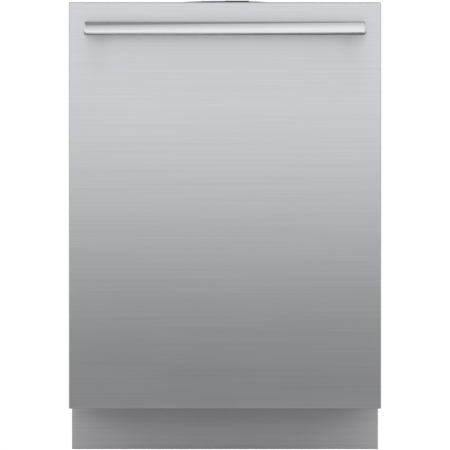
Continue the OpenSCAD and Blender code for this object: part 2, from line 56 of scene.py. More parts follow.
def material(name, color, metallic=0.0, rough=0.5, stretch=(1, 1, 1), scale=60.0, tone=0.08,
             rough_span=0.06, bump=0.15, depth=0.05, smudge=0.04, **fixed):
    """A procedural finish: a stretched grain for tone, roughness and bump, and slow smudges over it."""
    mat = bpy.data.materials.new(name)
    mat.use_nodes = True
    nodes, links = mat.node_tree.nodes, mat.node_tree.links
    shader = nodes["Principled BSDF"]
    shader.inputs["Metallic"].default_value = metallic
    for socket, value in fixed.items():
        shader.inputs[socket.replace("_", " ")].default_value = value
    place = nodes.new("ShaderNodeTexCoord")
    mapping = nodes.new("ShaderNodeMapping")
    mapping.inputs["Scale"].default_value = [scale * s for s in stretch]
    links.new(place.outputs["Object"], mapping.inputs["Vector"])
    grain = nodes.new("ShaderNodeTexNoise")
    grain.inputs["Scale"].default_value = 1.0
    grain.inputs["Detail"].default_value = 3.0
    links.new(mapping.outputs["Vector"], grain.inputs["Vector"])
    ramp = nodes.new("ShaderNodeValToRGB")
    for stop, (at, gain) in zip(ramp.color_ramp.elements, ((0.25, 1 - tone), (0.75, 1 + tone))):
        stop.position = at
        stop.color = [min(1.0, c * gain) for c in color] + [1.0]
    links.new(grain.outputs["Fac"], ramp.inputs["Fac"])
    links.new(ramp.outputs["Color"], shader.inputs["Base Color"])
    slow = nodes.new("ShaderNodeTexNoise")
    slow.inputs["Scale"].default_value = 5.0
    links.new(place.outputs["Object"], slow.inputs["Vector"])
    spread = nodes.new("ShaderNodeMapRange")
    spread.inputs["To Min"].default_value = rough - rough_span
    spread.inputs["To Max"].default_value = rough + rough_span
    links.new(grain.outputs["Fac"], spread.inputs["Value"])
    total = nodes.new("ShaderNodeMath")
    total.operation = "MULTIPLY_ADD"
    total.inputs[1].default_value = smudge
    links.new(slow.outputs["Fac"], total.inputs[0])
    links.new(spread.outputs["Result"], total.inputs[2])
    links.new(total.outputs[0], shader.inputs["Roughness"])
    relief = nodes.new("ShaderNodeBump")
    relief.inputs["Strength"].default_value = bump
    relief.inputs["Distance"].default_value = depth * MM
    links.new(grain.outputs["Fac"], relief.inputs["Height"])
    links.new(relief.outputs["Normal"], shader.inputs["Normal"])
    return mat


def dotted(mat, pitch, hole, hole_shade):
    """Adds a square pattern of round dots of painted shade to a material made above, standing for the holes
    of punched filter sheet.
    """
    nodes, links = mat.node_tree.nodes, mat.node_tree.links
    shader = nodes["Principled BSDF"]
    place = nodes.new("ShaderNodeTexCoord")
    cells = nodes.new("ShaderNodeTexVoronoi")
    cells.inputs["Scale"].default_value = 1.0 / pitch
    cells.inputs["Randomness"].default_value = 0.0
    links.new(place.outputs["Object"], cells.inputs["Vector"])
    edge = nodes.new("ShaderNodeMath")
    edge.operation = "LESS_THAN"
    edge.inputs[1].default_value = hole
    links.new(cells.outputs["Distance"], edge.inputs[0])
    mix = nodes.new("ShaderNodeMix")
    mix.data_type = "RGBA"
    old = shader.inputs["Base Color"].links[0].from_socket
    links.new(edge.outputs[0], mix.inputs[0])
    links.new(old, mix.inputs[6])
    # painted shade: each hole is a near-black dot in the colour, not an opening
    mix.inputs[7].default_value = (*hole_shade, 1.0)
    links.new(mix.outputs[2], shader.inputs["Base Color"])
    return mat


# how a finish's grain is scaled along x, y and z
ALONG_X = (0.05, 1, 14)
BRUSHED = (0.04, 1, 6)
ALONG_Z = (14, 1, 0.05)
FINISH = {
    "front_steel": material("front_steel", (0.62, 0.625, 0.645), 0.86, 0.30, BRUSHED, 90, 0.05, 0.05, 0.12,
                            0.02, Anisotropic=0.72, Anisotropic_Rotation=0.25),
    "handle_metal": material("handle_metal", (0.72, 0.725, 0.74), 1.0, 0.15, ALONG_X, 90, 0.02, 0.03, 0.08,
                             0.02, Anisotropic=0.3, Anisotropic_Rotation=0.25),
    "tub_steel": material("tub_steel", (0.78, 0.785, 0.795), 0.85, 0.3, ALONG_Z, 60, 0.02, 0.05, 0.1, 0.03),
    "zinc_steel": material("zinc_steel", (0.56, 0.57, 0.58), 1.0, 0.38, scale=90, tone=0.18, rough_span=0.12),
    "screw_steel": material("screw_steel", (0.70, 0.70, 0.70), 1.0, 0.25, scale=300, tone=0.05),
    "spring_steel": material("spring_steel", (0.42, 0.42, 0.43), 1.0, 0.3, scale=300, tone=0.12),
    "black_plastic": material("black_plastic", (0.022, 0.022, 0.025), 0, 0.42, scale=900, tone=0.15,
                              bump=0.3),
    "base_plastic": material("base_plastic", (0.045, 0.046, 0.05), 0, 0.55, scale=700, tone=0.15, bump=0.4),
    "grey_plastic": material("grey_plastic", (0.30, 0.31, 0.335), 0, 0.45, scale=700, tone=0.06, bump=0.25),
    "light_plastic": material("light_plastic", (0.58, 0.59, 0.60), 0, 0.42, scale=700, tone=0.04, bump=0.2),
    "white_plastic": material("white_plastic", (0.80, 0.80, 0.78), 0, 0.45, scale=700, tone=0.03, bump=0.2),
    "clear_lid": material("clear_lid", (0.66, 0.68, 0.70), 0, 0.18, scale=500, tone=0.03, bump=0.08),
    "button_caps": material("button_caps", (0.40, 0.41, 0.43), 0, 0.3, scale=500, tone=0.05),
    "rubber_seal": material("rubber_seal", (0.035, 0.035, 0.038), 0, 0.65, scale=400, tone=0.15, bump=0.3),
    "hose_rubber": material("hose_rubber", (0.24, 0.24, 0.25), 0, 0.6, (0.2, 1, 0.2), 250, 0.2, bump=0.8,
                            depth=1.0),
    "rack_coating": material("rack_coating", (0.33, 0.35, 0.385), 0, 0.36, scale=350, tone=0.06, bump=0.2,
                             Coat_Weight=0.25, Coat_Roughness=0.25),
    "felt": material("felt", (0.13, 0.13, 0.14), 0, 0.95, scale=260, tone=0.45, bump=1.0, depth=1.2,
                     Sheen_Weight=0.3),
    "board": material("board", (0.02, 0.13, 0.055), 0, 0.3, scale=200, tone=0.25),
    "lens": material("lens", (0.012, 0.016, 0.028), 0, 0.08, scale=300, tone=0.05, bump=0.02,
                     Coat_Weight=0.6, Coat_Roughness=0.04),
}
# painted light: a lighter, more diffuse copy of the front steel, so the kick plate under the door renders
# brighter
KICK_STEEL_PAINTED_LIGHT = material("kick_steel_painted_light", (0.90, 0.90, 0.92), 0.45, 0.38, BRUSHED, 90, 0.04, 0.05, 0.12, 0.02)
PALE_FILM = material("pale_film", (0.46, 0.55, 0.66), 0, 0.2, scale=300, tone=0.03, bump=0.02)
TAPE = material("seam_tape", (0.10, 0.10, 0.105), 0, 0.5, scale=140, tone=0.1, bump=0.3, depth=0.2)
PLAIN_STEEL = material("mesh_steel", (0.60, 0.605, 0.61), 1.0, 0.3, scale=300)
MESH_STEEL = dotted(PLAIN_STEEL, 2.4 * MM, 0.34, (0.02, 0.02, 0.02))


# ---------------------------------------------------------------- mesh helpers

def shade(mesh, angle=38):
    """Smooth shading, sharp where faces meet at more than the angle in degrees."""
    for face in mesh.polygons:
        face.use_smooth = True
    mesh.set_sharp_from_angle(angle=math.radians(angle))


def piece(name, mesh, like, hides=(), body=None, finish=None):
    """A new mesh or curve as a piece: on the body and in the finish of the CAD node it is like."""
    obj = bpy.data.objects.new(name, mesh)
    bpy.context.scene.collection.objects.link(obj)
    mesh.materials.append(finish or FINISH[SLOT[like]])
    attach(obj, body or BODY[like])
    if hides:
        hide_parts(*hides)
    obj.modifiers.new("normals", "WEIGHTED_NORMAL").keep_sharp = True
    return obj


def build(verts, faces, angle=38):
    """A shaded mesh from points and faces, its faces turned outwards."""
    mesh = bpy.data.meshes.new("piece")
    mesh.from_pydata([tuple(v) for v in verts], [], faces)
    bm = bmesh.new()
    bm.from_mesh(mesh)
    bmesh.ops.recalc_face_normals(bm, faces=bm.faces)
    bm.to_mesh(mesh)
    bm.free()
    shade(mesh, angle)
    return mesh


def loft(rings, cap=True, wrap=False):
    """Quads between closed rings of equal length; the ends are capped, or joined to each other."""
    n = len(rings[0])
    verts = [v for ring in rings for v in ring]
    faces = []
    for k in range(len(rings) - (0 if wrap else 1)):
        a, b = k * n, (k + 1) % len(rings) * n
        faces += [(a + i, a + (i + 1) % n, b + (i + 1) % n, b + i) for i in range(n)]
    if cap and not wrap:
        faces += [tuple(range(n))[::-1], tuple(range(len(verts) - n, len(verts)))]
    return verts, faces


def surface(rows):
    """An open sheet through rows of points."""
    n = len(rows[0])
    faces = [(r * n + i, r * n + i + 1, (r + 1) * n + i + 1, (r + 1) * n + i)
             for r in range(len(rows) - 1) for i in range(n - 1)]
    return build([v for row in rows for v in row], faces)


def solidify(obj, thickness, side):
    """Gives an open sheet a thickness, on the side that 1 or -1 says."""
    mod = obj.modifiers.new("sheet", "SOLIDIFY")
    mod.thickness, mod.offset, mod.use_even_offset = thickness, side, True


def arc(cx, cy, r, start, end, n=6):
    """Points on an arc, angles in degrees."""
    turns = [math.radians(start + (end - start) * i / n) for i in range(n + 1)]
    return [(cx + r * math.cos(t), cy + r * math.sin(t)) for t in turns]


def rounded_rect(x0, x1, y0, y1, r, n=5):
    """A rectangle with round corners, anticlockwise from its lower left corner."""
    r = max(r, 0.05 * MM)
    return (arc(x0 + r, y0 + r, r, 180, 270, n) + arc(x1 - r, y0 + r, r, 270, 360, n)
            + arc(x1 - r, y1 - r, r, 0, 90, n) + arc(x0 + r, y1 - r, r, 90, 180, n))


def smooth(t):
    """An eased step from 0 to 1."""
    t = min(1.0, max(0.0, t))
    return t * t * (3 - 2 * t)


def box_parts(boxes, r=0.8 * MM):
    """One mesh of several boxes, each with rounded edges."""
    bm = bmesh.new()
    for low, high in boxes:
        low, high = Vector(low), Vector(high)
        made = bmesh.ops.create_cube(bm, size=1.0)["verts"]
        for v in made:
            v.co = Vector([(a + b) / 2 + c * (b - a) for a, b, c in zip(low, high, v.co)])
        edges = list({e for v in made for e in v.link_edges})
        reach = min(r, 0.45 * min(high - low))
        bmesh.ops.bevel(bm, geom=edges, offset=reach, segments=3, profile=0.5, affect="EDGES")
    mesh = bpy.data.meshes.new("boxes")
    bm.to_mesh(mesh)
    bm.free()
    shade(mesh)
    return mesh


def lathe(profile, centre, axis, n=48):
    """Turns a closed profile of (along, radius) points about an axis through a centre."""
    axis = Vector(axis)
    side = axis.orthogonal().normalized()
    up = axis.cross(side)
    rings = []
    for along, radius in profile:
        rings.append([Vector(centre) + axis * along + (side * math.cos(t) + up * math.sin(t)) * radius
                      for t in [2 * math.pi * i / n for i in range(n)]])
    return rings


def soften(node, width=0.6 * MM, segments=2, finish=None):
    """A copy of a CAD node with its edges rounded, in its place."""
    bm = bmesh.new()
    bm.from_mesh(frame["nodes"][node].data)
    bmesh.ops.remove_doubles(bm, verts=bm.verts, dist=1e-6)
    bmesh.ops.dissolve_limit(bm, angle_limit=math.radians(1), verts=bm.verts, edges=bm.edges)
    sharp = [e for e in bm.edges if len(e.link_faces) == 2 and e.calc_face_angle(0) > math.radians(32)]
    bmesh.ops.bevel(bm, geom=sharp, offset=width, segments=segments, profile=0.5, affect="EDGES",
                    clamp_overlap=True)
    mesh = bpy.data.meshes.new(node + "_soft")
    bm.to_mesh(mesh)
    bm.free()
    shade(mesh)
    return piece(node + "_piece", mesh, node, (node,), finish=finish)


def cut(obj, low, high):
    """Cuts a box out of a piece."""
    cutter = bpy.data.objects.new("cutter", box_parts([(low, high)], 0.5 * MM))
    bpy.context.scene.collection.objects.link(cutter)
    mod = obj.modifiers.new("cut", "BOOLEAN")
    mod.operation, mod.solver, mod.object = "DIFFERENCE", "EXACT", cutter
    bpy.context.view_layer.update()
    shaped = bpy.data.meshes.new_from_object(obj.evaluated_get(bpy.context.evaluated_depsgraph_get()))
    obj.modifiers.clear()
    obj.data = shaped
    shade(shaped)
    bpy.data.objects.remove(cutter)


def fillet(points, r, n=5):
    """Rounds the corners of an open path of points."""
    points = [Vector(p) for p in points]
    path = [points[0]]
    for before, here, after in zip(points, points[1:], points[2:]):
        a, b = (before - here), (after - here)
        reach = min(r, 0.45 * a.length, 0.45 * b.length)
        start, end = here + a.normalized() * reach, here + b.normalized() * reach
        for i in range(n + 1):
            t = i / n
            path.append(start * (1 - t) ** 2 + here * 2 * t * (1 - t) + end * t * t)
    path.append(points[-1])
    return path


def wires(name, like, groups, hides=(), body=None, sides=3):
    """Round wires: groups of (radius, paths), each path a list of points, as one mesh."""
    parts = []
    for radius, paths in groups:
        curve = bpy.data.curves.new(name, "CURVE")
        curve.dimensions = "3D"
        curve.bevel_depth, curve.bevel_resolution, curve.use_fill_caps = radius, sides - 1, True
        for path in paths:
            closed = (Vector(path[0]) - Vector(path[-1])).length < 1e-6
            points = path[:-1] if closed else path
            line = curve.splines.new("POLY")
            line.points.add(len(points) - 1)
            for spot, p in zip(line.points, points):
                spot.co = (*p, 1.0)
            line.use_cyclic_u = closed
        holder = bpy.data.objects.new(name, curve)
        bpy.context.scene.collection.objects.link(holder)
        bpy.context.view_layer.update()
        parts.append(bpy.data.meshes.new_from_object(
            holder.evaluated_get(bpy.context.evaluated_depsgraph_get())))
        bpy.data.objects.remove(holder)
    bm = bmesh.new()
    for part in parts:
        bm.from_mesh(part)
    mesh = bpy.data.meshes.new(name)
    bm.to_mesh(mesh)
    bm.free()
    shade(mesh, 60)
    return piece(name, mesh, like, hides, body)


def spaced(low, high, step):
    """Even places from low to high, about a step apart."""
    n = max(1, round((high - low) / step))
    return [low + (high - low) * i / n for i in range(n + 1)]


# ---------------------------------------------------------------- driving places

panel_low, panel_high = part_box("outer_door_panel")
strip_low, strip_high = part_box("control_strip")
liner_low, liner_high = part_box("inner_door_liner")
bar_low, bar_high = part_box("handle_bar")
tub_low, tub_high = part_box("tub_wrapper")
lens_low, lens_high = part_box("display_lens")
half = panel_high.x
face_y = panel_low.y
STRIP_DOWN = 1.5 * MM
TUB_MIDDLE = Vector((0, 0, 0.4))
CROWN_RISE = 2.2 * MM
CROWN_HALF = 90 * MM
panel_top = panel_high.z - CROWN_RISE


def crown(x):
    """Height of the crowned middle above the panel's top edge."""
    return CROWN_RISE * max(0.0, 1 - abs(x / CROWN_HALF) ** 3)


# ---------------------------------------------------------------- door

def door_skin():
    """The folded front sheet: rounded folds all round, side and bottom returns, crowned top."""
    fold, sheet, deep, corner = 3 * MM, 1 * MM, panel_high.y - panel_low.y, 2 * MM

    def outline(inset):
        x1, z0, z1 = half - inset, panel_low.z + inset, panel_top - inset
        r = max(corner - inset, 0.2 * MM)
        top = [(x, z1 + crown(x)) for x in spaced(x1 - r, -x1 + r, 8 * MM)]
        return (arc(-x1 + r, z0 + r, r, 180, 270, 3) + arc(x1 - r, z0 + r, r, 270, 360, 3)
                + [(x1, z1 - r), (x1, z1 - r)] + top + [(-x1, z1 - r), (-x1, z1 - r)])

    # the points before this one, and the last point, belong to the sides and bottom
    lower = 9
    count = len(outline(0))

    def ring(inset, depth, top_depth):
        points = outline(inset)
        return [Vector((x, face_y + (depth if (i < lower or i == count - 1) else top_depth), z))
                for i, (x, z) in enumerate(points)]

    rings = []
    for k in range(6):
        a = math.radians(90 * k / 5)
        y = fold * (1 - math.cos(a))
        rings.append(ring(fold * (1 - math.sin(a)), y, y))
    rings.append(ring(0, deep, fold + 0.6 * MM))
    rings.append(ring(sheet, deep, fold + 0.6 * MM))
    rings.append(ring(sheet, fold, fold))
    rings.append(ring(fold, sheet, sheet))
    mesh = build(*loft(rings))
    return piece("door_skin", mesh, "outer_door_panel", ("outer_door_panel",))


def handle():
    """The bar: its front curves back towards the top; rounded long edges and ends."""
    under, over, lean, end = 5.5 * MM, 2.6 * MM, 5.5 * MM, 4 * MM
    y0, y1, z0, z1 = bar_low.y, bar_high.y, bar_low.z, bar_high.z

    def back_off(z):
        return lean * max(0.0, (z - z0 - under) / (z1 - z0 - under)) ** 2

    def section(inset):
        front, back, low, high = y0 + inset, y1 - inset, z0 + inset, z1 - inset
        r, top_r = min(under, 0.48 * (back - front)), min(over, 0.48 * (back - front))
        edge = (arc(front + r, low + r, r, 180, 270, 8) + arc(back - r, low + r, r, 270, 360, 8)
                + arc(back - top_r, high - top_r, top_r, 0, 90, 8)
                + arc(front + top_r, high - top_r, top_r, 90, 180, 8))
        edge += [(front, z) for z in reversed(spaced(low + r, high - top_r, 1.5 * MM)[1:-1])]
        return [(y + back_off(z) * smooth((y1 - y) / (y1 - y0)), z) for y, z in edge]

    angles = [math.radians(a) for a in (0, 20, 40, 60, 75, 90)]
    stations = [(end * (1 - math.cos(a)), end * (1 - math.sin(a))) for a in angles]
    rings = [[Vector((bar_low.x + x, y, z)) for y, z in section(inset)] for x, inset in stations]
    rings += [[Vector((bar_high.x - x, y, z)) for y, z in section(inset)] for x, inset in reversed(stations)]
    piece("handle_bar_piece", build(*loft(rings)), "handle_bar", ("handle_bar",))
    soften("handle_posts", 2 * MM, 4)


def control_strip():
    """The strip along the top edge: a moulded channel whose middle is crowned under the steel."""
    low, high = strip_low, strip_high
    top = panel_top - STRIP_DOWN
    y0, y1, r = face_y + 4 * MM, high.y, 1.2 * MM
    span = spaced(low.x, high.x, 6 * MM)
    rings = []
    for x in span:
        rise = max(0.0, crown(x) + STRIP_DOWN - 0.3 * MM) if abs(x) < CROWN_HALF * 1.2 else 0.0
        rise *= smooth((CROWN_HALF * 1.2 - abs(x)) / (20 * MM))
        ridge = y0 + 42 * MM
        ring = [(y0, low.z), (y0, top + rise - r), (y0 + r, top + rise)]
        ring += [(ridge - 3 * MM, top + rise), (ridge, top + rise * 0.4), (ridge + 2 * MM, top)]
        ring += [(y1 - r, top), (y1, top - r), (y1, low.z), (y1 - 2 * MM, low.z), (y1 - 2 * MM, top - 3 * MM),
                 (y0 + 2 * MM, top - 3 * MM), (y0 + 2 * MM, low.z)]
        rings.append([Vector((x, y, z)) for y, z in ring])
    strip = piece("control_strip_piece", build(*loft(rings)), "control_strip", ("control_strip",))
    gap = Vector((0.3 * MM, 0.3 * MM, 0))
    cut(strip, lens_low - gap, lens_high + gap + Vector((0, 0, 10 * MM)))
    cut(strip, (-22 * MM, high.y - 9 * MM, low.z + 3 * MM), (22 * MM, high.y + 5 * MM, low.z + 14 * MM))
    for name in ("button_power", "button_cycle", "button_options", "button_start"):
        soften(name, 0.5 * MM, 3)
    soften("display_lens", 0.5 * MM, 3)
    film = box_parts([((-lens_high.x, lens_low.y, top + STRIP_DOWN + 0.5 * MM),
                       (lens_low.x - 0.4 * MM, lens_high.y, lens_high.z - 0.1 * MM))], 0.4 * MM)
    piece("display_film", film, "display_lens", finish=PALE_FILM)


def liner():
    """The inner door: a pressed steel pan with a rounded rim and a shallow recessed field."""
    x1, z0, z1 = liner_high.x, liner_low.z, liner_high.z
    y_open, y_face = liner_low.y, liner_high.y
    rim, corner = 9 * MM, 16 * MM

    def ring(inset, y):
        edge = rounded_rect(-x1 + inset, x1 - inset, z0 + inset, z1 - inset, corner - inset * 0.25, 8)
        return [Vector((x, y, z)) for x, z in edge]

    rings = [ring(0, y_open), ring(0, y_face - rim)]
    for a in (18, 36, 54, 72, 90):
        t = math.radians(a)
        rings.append(ring(rim * (1 - math.cos(t)), y_face - rim + rim * math.sin(t)))
    for inset, down in ((42, 0), (44, 0.3), (47, 2.7), (49, 3)):
        rings.append(ring(inset * MM, y_face - down * MM))
    verts, faces = loft(rings, cap=False)
    n = len(rings[0])
    faces.append(tuple(range(len(verts) - n, len(verts))))
    obj = piece("inner_door_liner_piece", build(verts, faces), "inner_door_liner", ("inner_door_liner",))
    solidify(obj, 1 * MM, -1.0)
    low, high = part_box("dispenser_housing")
    cut(obj, (low.x, y_face - 20 * MM, low.z), (high.x, y_face + 10 * MM, high.z))


def dispenser():
    """The detergent and rinse aid dispenser, with five grip ribs on its sliding lid."""
    soften("dispenser_housing", 1.6 * MM, 3)
    soften("rinse_aid_cap", 0.8 * MM, 3)
    soften("detergent_lid", 0.7 * MM, 3)
    low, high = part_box("detergent_lid")
    rib, pitch = Vector((2 * MM, 2 * MM, 10 * MM)), Vector((5 * MM, 0, 0))
    first = Vector((low.x + 10 * MM, high.y - 3.2 * MM, low.z + 6 * MM))
    grip = [(first + pitch * i, first + pitch * i + rib) for i in range(5)]
    piece("detergent_lid_grip", box_parts(grip, 0.4 * MM), "detergent_lid")


# ---------------------------------------------------------------- tub

def tub_shell():
    """The tub's sides and top in one sheet with round upper corners, ribs pressed into the sides."""
    x1, z0, z1, corner = tub_high.x, tub_low.z, tub_high.z, 24 * MM
    wall = 1.2 * MM
    path = [(-x1, z) for z in spaced(z0, z1 - corner, 9 * MM)]
    path += arc(-x1 + corner, z1 - corner, corner, 180, 90, 8)[1:]
    path += [(x, z1) for x in spaced(-x1 + corner, x1 - corner, 30 * MM)[1:-1]]
    path += arc(x1 - corner, z1 - corner, corner, 90, 0, 8)
    path += [(x1, z) for z in spaced(z1 - corner, z0, 9 * MM)[1:]]
    rib_z = [z0 + h * MM for h in (190, 235, 280)]
    rows = []
    for y in spaced(tub_low.y, tub_high.y, 9 * MM):
        along = smooth((y - tub_low.y - 50 * MM) / (14 * MM)) * smooth((tub_high.y - 50 * MM - y) / (14 * MM))
        row = []
        for x, z in path:
            press = max(smooth(1 - abs(z - rz) / (15 * MM)) for rz in rib_z) if abs(x) > x1 - 1e-6 else 0
            row.append(Vector((x - math.copysign(3 * MM * press * along, x), y, z)))
        rows.append(row)
    mesh = surface(rows)
    obj = piece("tub_shell", mesh, "tub_wrapper", ("tub_wrapper",))
    solidify(obj, wall, inward(mesh, Vector((0, 0, (z0 + z1) / 2))))


def inward(mesh, middle):
    """Which way a sheet's thickness goes so that it grows towards a middle point."""
    face = mesh.polygons[0]
    return 1.0 if face.normal.dot(middle - face.center) > 0 else -1.0


def tub_back():
    """The back wall with two raised pressed fields beside the feed tube."""
    low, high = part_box("tub_back_wall")
    rows = []
    for z in spaced(low.z, high.z, 8 * MM):
        row = []
        for x in spaced(low.x, high.x, 8 * MM):
            beside = smooth((abs(x) - 52 * MM) / (14 * MM)) * smooth((high.x - 40 * MM - abs(x)) / (14 * MM))
            tall = smooth((z - low.z - 90 * MM) / (14 * MM)) * smooth((high.z - 60 * MM - z) / (14 * MM))
            row.append(Vector((x, low.y - 4 * MM * beside * tall, z)))
        rows.append(row)
    mesh = surface(rows)
    obj = piece("tub_back_piece", mesh, "tub_back_wall", ("tub_back_wall",))
    solidify(obj, 1.2 * MM, -inward(mesh, TUB_MIDDLE))


def gasket():
    """A hollow-bulb door seal: its section swept round the tub's mouth."""
    low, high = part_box("door_gasket")
    wide, deep, corner = 9 * MM, high.y - low.y, 20 * MM
    side = [(3.0, 0.0), (3.2, 0.12), (2.2, 0.25), (3.1, 0.45), (3.0, 0.75), (1.9, 0.95)]
    section = [(0.5, 0.0)] + side + [(0.0, 1.0)] + [(-u, v) for u, v in reversed(side)]
    rings = []
    for u, v in section:
        off = wide / 2 - u * MM * 1.4
        rings.append([Vector((x, high.y - v * deep, z)) for x, z in
                      rounded_rect(low.x + off, high.x - off, low.z + off, high.z - off, corner - off, 10)])
    mesh = build(*loft(rings, wrap=True))
    piece("door_gasket_piece", mesh, "door_gasket", ("door_gasket",))


# ---------------------------------------------------------------- racks

def basket(x1, y0, y1, z0, z1, floor_step, wall_rims, r=1.6 * MM, rim_r=2.4 * MM, bend=16 * MM):
    """Welded basket: U-shaped wires both ways, and round rims."""
    top = z1 - rim_r
    out = x1 - rim_r
    inner = out - rim_r - r
    fine = []
    for x in spaced(-inner + 12 * MM, inner - 12 * MM, floor_step):
        fine.append(fillet([(x, y0 + rim_r * 2 + r, top), (x, y0 + rim_r * 2 + r, z0 + r),
                            (x, y1 - rim_r * 2 - r, z0 + r), (x, y1 - rim_r * 2 - r, top)], bend))
    for y in spaced(y0 + 22 * MM, y1 - 22 * MM, floor_step * 1.35):
        fine.append(fillet([(-inner, y, top), (-inner, y, z0 + 3 * r), (inner, y, z0 + 3 * r),
                            (inner, y, top)], bend))
    rims = []
    for z in [top] + [z0 + (z1 - z0) * share for share in wall_rims]:
        loop = [Vector((x, y, z)) for x, y in rounded_rect(-out, out, y0 + rim_r, y1 - rim_r, 22 * MM, 8)]
        rims.append(loop + loop[:1])
    return fine, rims


def tine_rows(rows, x0, x1, z, tall, step, lean=0.12):
    """Upright tines in rows, each leaning back a little, on a foot wire."""
    pins, feet = [], []
    for y in rows:
        feet.append([Vector((x0, y, z)), Vector((x1, y, z))])
        for x in spaced(x0 + 6 * MM, x1 - 6 * MM, step):
            pins.append([Vector((x, y, z)), Vector((x, y + 0.3 * lean * tall, z + 0.6 * tall)),
                         Vector((x, y + lean * tall, z + tall))])
    return pins, feet


def rack_grip(top_x, bottom_x, y, z, drop, bend):
    """The dipped handle wire in a rack's front."""
    return fillet([(-top_x, y, z), (-bottom_x, y, z - drop), (bottom_x, y, z - drop), (top_x, y, z)], bend)


def lower_rack():
    """The lower basket with its fixed tines and grip, and the carriers and axles of its wheels."""
    low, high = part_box("lower_rack")
    x1 = high.x - 16 * MM
    floor, rim = high.z - 150 * MM, high.z
    fine, rims = basket(x1, low.y, high.y, floor, rim, 27 * MM, (0.34, 0.66))
    rows = [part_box("fold_tines")[1].y + d * MM for d in (70, 130, 190)]
    pins, feet = tine_rows(rows, -x1 + 20 * MM, x1 - 20 * MM, floor + 6 * MM, 72 * MM, 30 * MM)
    rims.append(rack_grip(70 * MM, 60 * MM, low.y + 3 * MM, rim - 3 * MM, 35 * MM, 14 * MM))
    groups = [(1.6 * MM, fine + pins), (2.4 * MM, rims + feet)]
    wires("lower_rack_wires", "lower_rack", groups, ("lower_rack",))
    carriers, axles = [], []
    for node in ("wheels_front", "wheels_rear"):
        w_low, w_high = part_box(node)
        y, z = (w_low.y + w_high.y) / 2, (w_low.z + w_high.z) / 2
        for s in (-1, 1):
            a, b = sorted((s * (x1 - 5 * MM), s * x1))
            carriers.append(((a, y - 9 * MM, z - 8 * MM), (b, y + 9 * MM, floor + 22 * MM)))
            axles.append([Vector((s * (x1 - 4 * MM), y, z)), Vector((s * high.x, y, z))])
    piece("wheel_carriers", box_parts(carriers, 1.5 * MM), "wheels_front", body=BODY["lower_rack"])
    wires("wheel_axles", "lower_rack", [(3.9 * MM, axles)])


# the six faces of a block whose corners run through x, then length, then side
BLOCK = ((0, 1, 3, 2), (4, 6, 7, 5), (0, 4, 5, 1), (2, 3, 7, 6), (0, 2, 6, 4), (1, 5, 7, 3))


def wheels(node):
    """Two spoked plastic wheels on one line."""
    low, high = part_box(node)
    r = (high.z - low.z) / 2
    y, z, wide = (low.y + high.y) / 2, (low.z + high.z) / 2, 10 * MM
    verts, faces = [], []
    for x in (low.x, high.x - wide):
        profile = [(0.6, r - 1.2 * MM), (1.6, r), (8.4, r), (9.4, r - 1.2 * MM), (9.4, r - 3.5 * MM),
                   (6.5, r - 4 * MM), (6.5, 8 * MM), (10, 7.5 * MM), (10, 4.06 * MM), (0, 4.06 * MM),
                   (0, 7.5 * MM), (3.5, 8 * MM), (3.5, r - 4 * MM), (0.6, r - 3.5 * MM)]
        v, f = loft(lathe([(a * MM, rr) for a, rr in profile], (x, y, z), (1, 0, 0)), wrap=True)
        faces += [tuple(i + len(verts) for i in face) for face in f]
        verts += v
    wheel = build(verts, faces)
    bm = bmesh.new()
    bm.from_mesh(wheel)
    for x in (low.x, high.x - wide):
        for k in range(6):
            t = math.radians(60 * k)
            out = Vector((0, math.cos(t), math.sin(t)))
            side = Vector((0, -math.sin(t), math.cos(t))) * 1.2 * MM
            for x0, x1 in ((x + 1.4 * MM, x + 3.6 * MM), (x + 6.4 * MM, x + 8.6 * MM)):
                made = [bm.verts.new(Vector((end, y, z)) + out * d + s)
                        for end in (x0, x1) for d in (7.6 * MM, r - 3.6 * MM) for s in (-side, side)]
                for quad in BLOCK:
                    bm.faces.new([made[i] for i in quad])
    bmesh.ops.recalc_face_normals(bm, faces=bm.faces)
    bm.to_mesh(wheel)
    bm.free()
    shade(wheel)
    piece(node + "_piece", wheel, node, (node,))


def fold_tines():
    """A row of tines on the rod that they fold about."""
    low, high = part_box("fold_tines")
    y, z = (low.y + high.y) / 2, low.z + 3 * MM
    pins = []
    for x in spaced(low.x + 10 * MM, high.x - 10 * MM, 28 * MM):
        pins.append([Vector((x, y, z)), Vector((x, y, high.z - 2 * MM))])
    rod = [Vector((low.x, y, z)), Vector((high.x, y, z))]
    wires("fold_tines_wires", "fold_tines", [(1.6 * MM, pins), (2.8 * MM, [rod])], ("fold_tines",))


